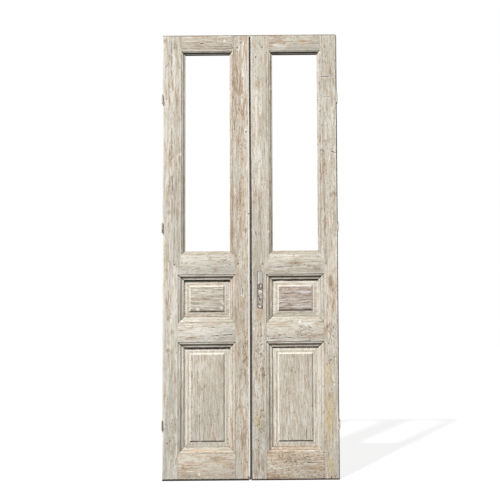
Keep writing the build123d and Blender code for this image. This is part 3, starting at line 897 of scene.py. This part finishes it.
def pine(leaf, member, seed, bare, white, dirty):
    """The finish of one board, laid on from the wash to the marks."""
    board = Board(leaf, member, seed)
    board.wash(bare, white)
    if "panel" in member:
        board.tone_and_shade_panel()
    else:
        board.soil_and_shade_mouldings()
    board.stain()
    specks = board.speckle(dirty)
    board.wear_and_shade_edges()
    board.shade_undersides_and_reveals()
    deep = board.mark()
    height = board.fibres * 0.3 + board.late * 0.2 + board.streaks * 0.35 - specks * 0.7 - deep
    roughness = board.fibres * 0.12 + board.gone.rise(-0.1, 0.3) * 0.08 + 0.74
    roughness = roughness.most(board.sawn)
    return board.surface(roughness, height, 0.0008, 0.6, Specular_IOR_Level=0.06)


def old_iron(name, seed, lime=0.0):
    """Iron gone brown with age, limewashed with the leaf, most where it stands out from it."""
    finish = Finish(name, shade(72, 64, 55))
    x, y, z = finish.place()
    here = finish.point(x + seed, y, z)
    bloom = finish.noise(here, (140.0, 140.0, 90.0), 5, 0.65)
    fine = finish.noise(here, (900.0, 900.0, 900.0), 3, 0.6)
    smear = finish.noise(here, (75.0, 75.0, 40.0), 4, 0.65)
    rust = (bloom * 0.8 + fine * 0.35 - 0.55).rise(0.0, 0.2)
    outer = abs(x).rise(0.4718, 0.4736) * 0.25
    limed = (smear + fine * 0.2 + outer + lime - 0.56).rise(0.0, 0.12)
    finish.coat(rust, shade(104, 74, 54))
    finish.coat((fine - 0.6).rise(0.0, 0.08) * 0.6, shade(44, 34, 28))
    finish.coat(limed * 0.9, shade(214, 208, 195))
    metal = (1 - limed) * (0.7 - rust * 0.55)
    return finish.surface(rust * 0.2 + 0.62, fine * 0.6 + bloom, 0.0004, 0.7, Metallic=metal)


def worn_plate(name):
    """Old plate, cool grey above the boss, browned and limed about the screws and keyhole."""
    finish = Finish(name, shade(176, 174, 170))
    x, y, z = finish.place()
    here = finish.point(x, y, z)
    flat = finish.point(x, 0.0, z)
    cloud = finish.noise(here, (70.0, 70.0, 45.0), 3, 0.6)
    grit = finish.noise(here, (260.0, 260.0, 200.0), 3, 0.65)
    wobble = (grit - 0.5) * 0.005
    across = x - PLATE_MIDDLE
    upper = z.rise(1.035, 1.055)
    brown = (cloud * 0.8 + grit * 0.35 + (1 - upper) * 0.16 - 0.60).rise(-0.02, 0.22)
    # Painted sheen: pale bands down the plate above the boss, beside a greyer band.
    sheen = across.line(-0.0080, 0.0040).most(across.line(0.0105, 0.0035) * 0.6) * upper
    finish.coat(brown, shade(136, 124, 110))
    finish.coat(sheen * 0.6, shade(224, 222, 218))
    finish.coat(across.line(0.0060, 0.0030) * upper * 0.4, shade(146, 146, 140))
    finish.coat((grit * 0.6 + cloud * 0.5 - 0.57).rise(0.0, 0.08) * 0.5, shade(222, 217, 206))
    for offset, up, inner, outer, tint, amount in PLATE_MARKS:
        away = finish.distance(flat, PLATE_MIDDLE + offset / 1000, up / 1000) + wobble
        finish.coat((1 - away.rise(inner / 1000, outer / 1000)) * amount, shade(*tint))

    # Round the boss, along the rim, at both ends and in the recess's lower corners the plate is
    # darker: dirt, and painted shade of the spindle hole and the recess.
    from_boss = finish.distance(flat, PLATE_MIDDLE, SPINDLE_UP) + wobble * 0.5
    finish.coat(from_boss.line(0.0140, 0.0026) * 0.75, shade(58, 47, 38))
    rim = abs(across).rise(0.0108, 0.0140) * 0.7
    ends = z.rise(1.1035, 1.1095).most(1 - z.rise(0.9115, 0.9150))
    ends = ends * abs(across).rise(0.002, 0.009) * 0.7
    from_corner = finish.distance(finish.point(abs(across), 0.0, z), 0.0115, 0.916)
    corners = (1 - from_corner.rise(0.002, 0.007)) * 0.95
    finish.coat(rim.most(ends).most(corners), shade(56, 46, 38))
    return finish.surface(brown * 0.2 + 0.5, grit * 0.5 + cloud, 0.0003, 0.5, Metallic=0.25)


def peg_wood(name, seed):
    """Darker end grain of riven pegs and wedges."""
    finish = Finish(name, shade(176, 156, 130))
    x, y, z = finish.place()
    here = finish.point(x + seed, y, z)
    fibres = finish.noise(here, (380.0, 60.0, 380.0), 4, 0.6)
    cloud = finish.noise(here, (60.0, 60.0, 60.0), 3)
    finish.coat((fibres * 0.7 + cloud * 0.5 - 0.4).rise(0.0, 0.4), shade(112, 88, 64))
    return finish.surface(cloud * 0.1 + 0.74, fibres, 0.0005, 0.6)


def eased_copy(node, body, material, sharp, smooth):
    """A board shaped as its solid, with every edge sharper than so many degrees eased."""
    piece = bpy.data.objects.new(f"{node}_board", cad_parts[node].data.copy())
    bpy.context.scene.collection.objects.link(piece)
    bpy.ops.object.select_all(action="DESELECT")
    piece.select_set(True)
    bpy.context.view_layer.objects.active = piece
    bpy.ops.object.mode_set(mode="EDIT")
    bpy.ops.mesh.select_all(action="SELECT")
    bpy.ops.mesh.remove_doubles(threshold=0.00001)
    bpy.ops.mesh.dissolve_limited(angle_limit=math.radians(1.0))
    bpy.ops.mesh.select_all(action="DESELECT")
    bpy.ops.mesh.select_mode(type="EDGE")
    bpy.ops.mesh.edges_select_sharp(sharpness=math.radians(sharp))
    bpy.ops.mesh.bevel(offset=EASE, segments=2, affect="EDGES", clamp_overlap=False)
    bpy.ops.object.mode_set(mode="OBJECT")
    bpy.ops.object.shade_smooth_by_angle(angle=math.radians(smooth))
    piece.data.materials.clear()
    piece.data.materials.append(material)
    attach(piece, body)
    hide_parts(node)


for leaf, first_seed in (("left", 3), ("right", 41)):
    for number, member in enumerate(MEMBERS):
        node = f"{leaf}_{member}"
        material = pine(leaf, member, number * 7 + first_seed, *TONES[node])
        if "panel" in member:
            eased_copy(node, f"{leaf}_leaf", material, sharp=14, smooth=12)
        else:
            eased_copy(node, f"{leaf}_leaf", material, sharp=32, smooth=28)

iron = old_iron("old_iron_skin", 3.0)
limed_iron = old_iron("limed_iron_skin", 7.0, 0.25)
plate = worn_plate("worn_escutcheon_metal")
pegs = peg_wood("riven_peg_wood", 5.0)
for node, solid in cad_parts.items():
    if solid.hide_render:
        continue
    if node in ("right_escutcheon", "right_escutcheon_screws", "latch_bolt"):
        skin = plate
    elif node.endswith(("pegs", "wedges")):
        skin = pegs
    elif node.endswith("_top"):
        skin = limed_iron
    else:
        skin = iron
    for place in solid.material_slots:
        place.material = skin


def seen_white(nodes):
    """1 for rays that show the floor or surround, directly or in gloss or glass, else 0."""
    seen = nodes.node("ShaderNodeLightPath", out="Is Camera Ray")
    rays = seen.socket.node.outputs
    for ray in ("Is Glossy Ray", "Is Transmission Ray"):
        seen = seen.most(Wire(nodes, rays[ray]))
    return seen


def lay_floor():
    """A pale floor that keeps the doors' shadow and is otherwise white to the camera."""
    bpy.ops.object.select_all(action="DESELECT")
    bpy.ops.mesh.primitive_plane_add(size=16, location=(0, 0, 0))
    floor = bpy.context.object
    floor.name = "studio_floor"
    material = bpy.data.materials.new("studio_floor_paint")
    material.use_nodes = True
    nodes = Nodes(material.node_tree)
    nodes.tree.nodes.clear()
    paint = nodes.node("ShaderNodeBsdfDiffuse", None, {"Color": (0.20, 0.20, 0.20, 1)})
    glow = nodes.node("ShaderNodeEmission", None, {"Strength": 0.8})
    both = nodes.node("ShaderNodeAddShader", None, {0: paint, 1: glow})
    sockets = {0: seen_white(nodes), 1: paint, 2: both}
    shown = nodes.node("ShaderNodeMixShader", None, sockets)
    nodes.node("ShaderNodeOutputMaterial", None, {"Surface": shown})
    floor.data.materials.append(material)


def surround():
    """A soft fill of light from all sides, seen as plain white."""
    world = bpy.data.worlds.new("studio_surround")
    bpy.context.scene.world = world
    world.use_nodes = True
    nodes = Nodes(world.node_tree)
    nodes.tree.nodes.clear()
    sockets = {"Color": (1.0, 0.99, 0.975, 1), "Strength": 0.42}
    fill = nodes.node("ShaderNodeBackground", None, sockets)
    sockets = {"Color": (1, 1, 1, 1), "Strength": 1.0}
    white = nodes.node("ShaderNodeBackground", None, sockets)
    sockets = {0: seen_white(nodes), 1: fill, 2: white}
    shown = nodes.node("ShaderNodeMixShader", None, sockets)
    nodes.node("ShaderNodeOutputWorld", None, {"Surface": shown})


def hang_lamps():
    """A window up to the left, and a weaker light without shadow from the room behind."""
    for name, energy, angle, place, shadow in (
        ("window_lamp", 3.85, 3, (-3.10, -5.60, 9.00), True),
        ("room_lamp", 1.3, 20, (0.00, 7.00, 2.60), False),
    ):
        lamp = bpy.data.lights.new(name, "SUN")
        lamp.energy = energy
        lamp.angle = math.radians(angle)
        lamp.use_shadow = shadow
        holder = bpy.data.objects.new(name, lamp)
        holder.location = place
        aim = Vector((0, 0, LEAF_TALL / 2)) - holder.location
        holder.rotation_euler = aim.to_track_quat("-Z", "Y").to_euler()
        bpy.context.scene.collection.objects.link(holder)


def set_camera():
    """The camera, fitted to the photo's outline and sight lines."""
    camera = bpy.data.cameras.new("door_view")
    camera.lens = 53.29
    camera.sensor_width = 36
    camera.shift_x = -0.1675
    eye = bpy.data.objects.new("door_view", camera)
    pitch = Matrix.Rotation(math.radians(92.56), 4, "X")
    roll = Matrix.Rotation(math.radians(-0.47), 4, "Z")
    eye.matrix_world = Matrix.Translation((0.45, -4.0, 1.044)) @ pitch @ roll
    bpy.context.scene.collection.objects.link(eye)
    bpy.context.scene.camera = eye
    bpy.context.scene.view_settings.view_transform = "Standard"


lay_floor()
surround()
hang_lamps()
set_camera()
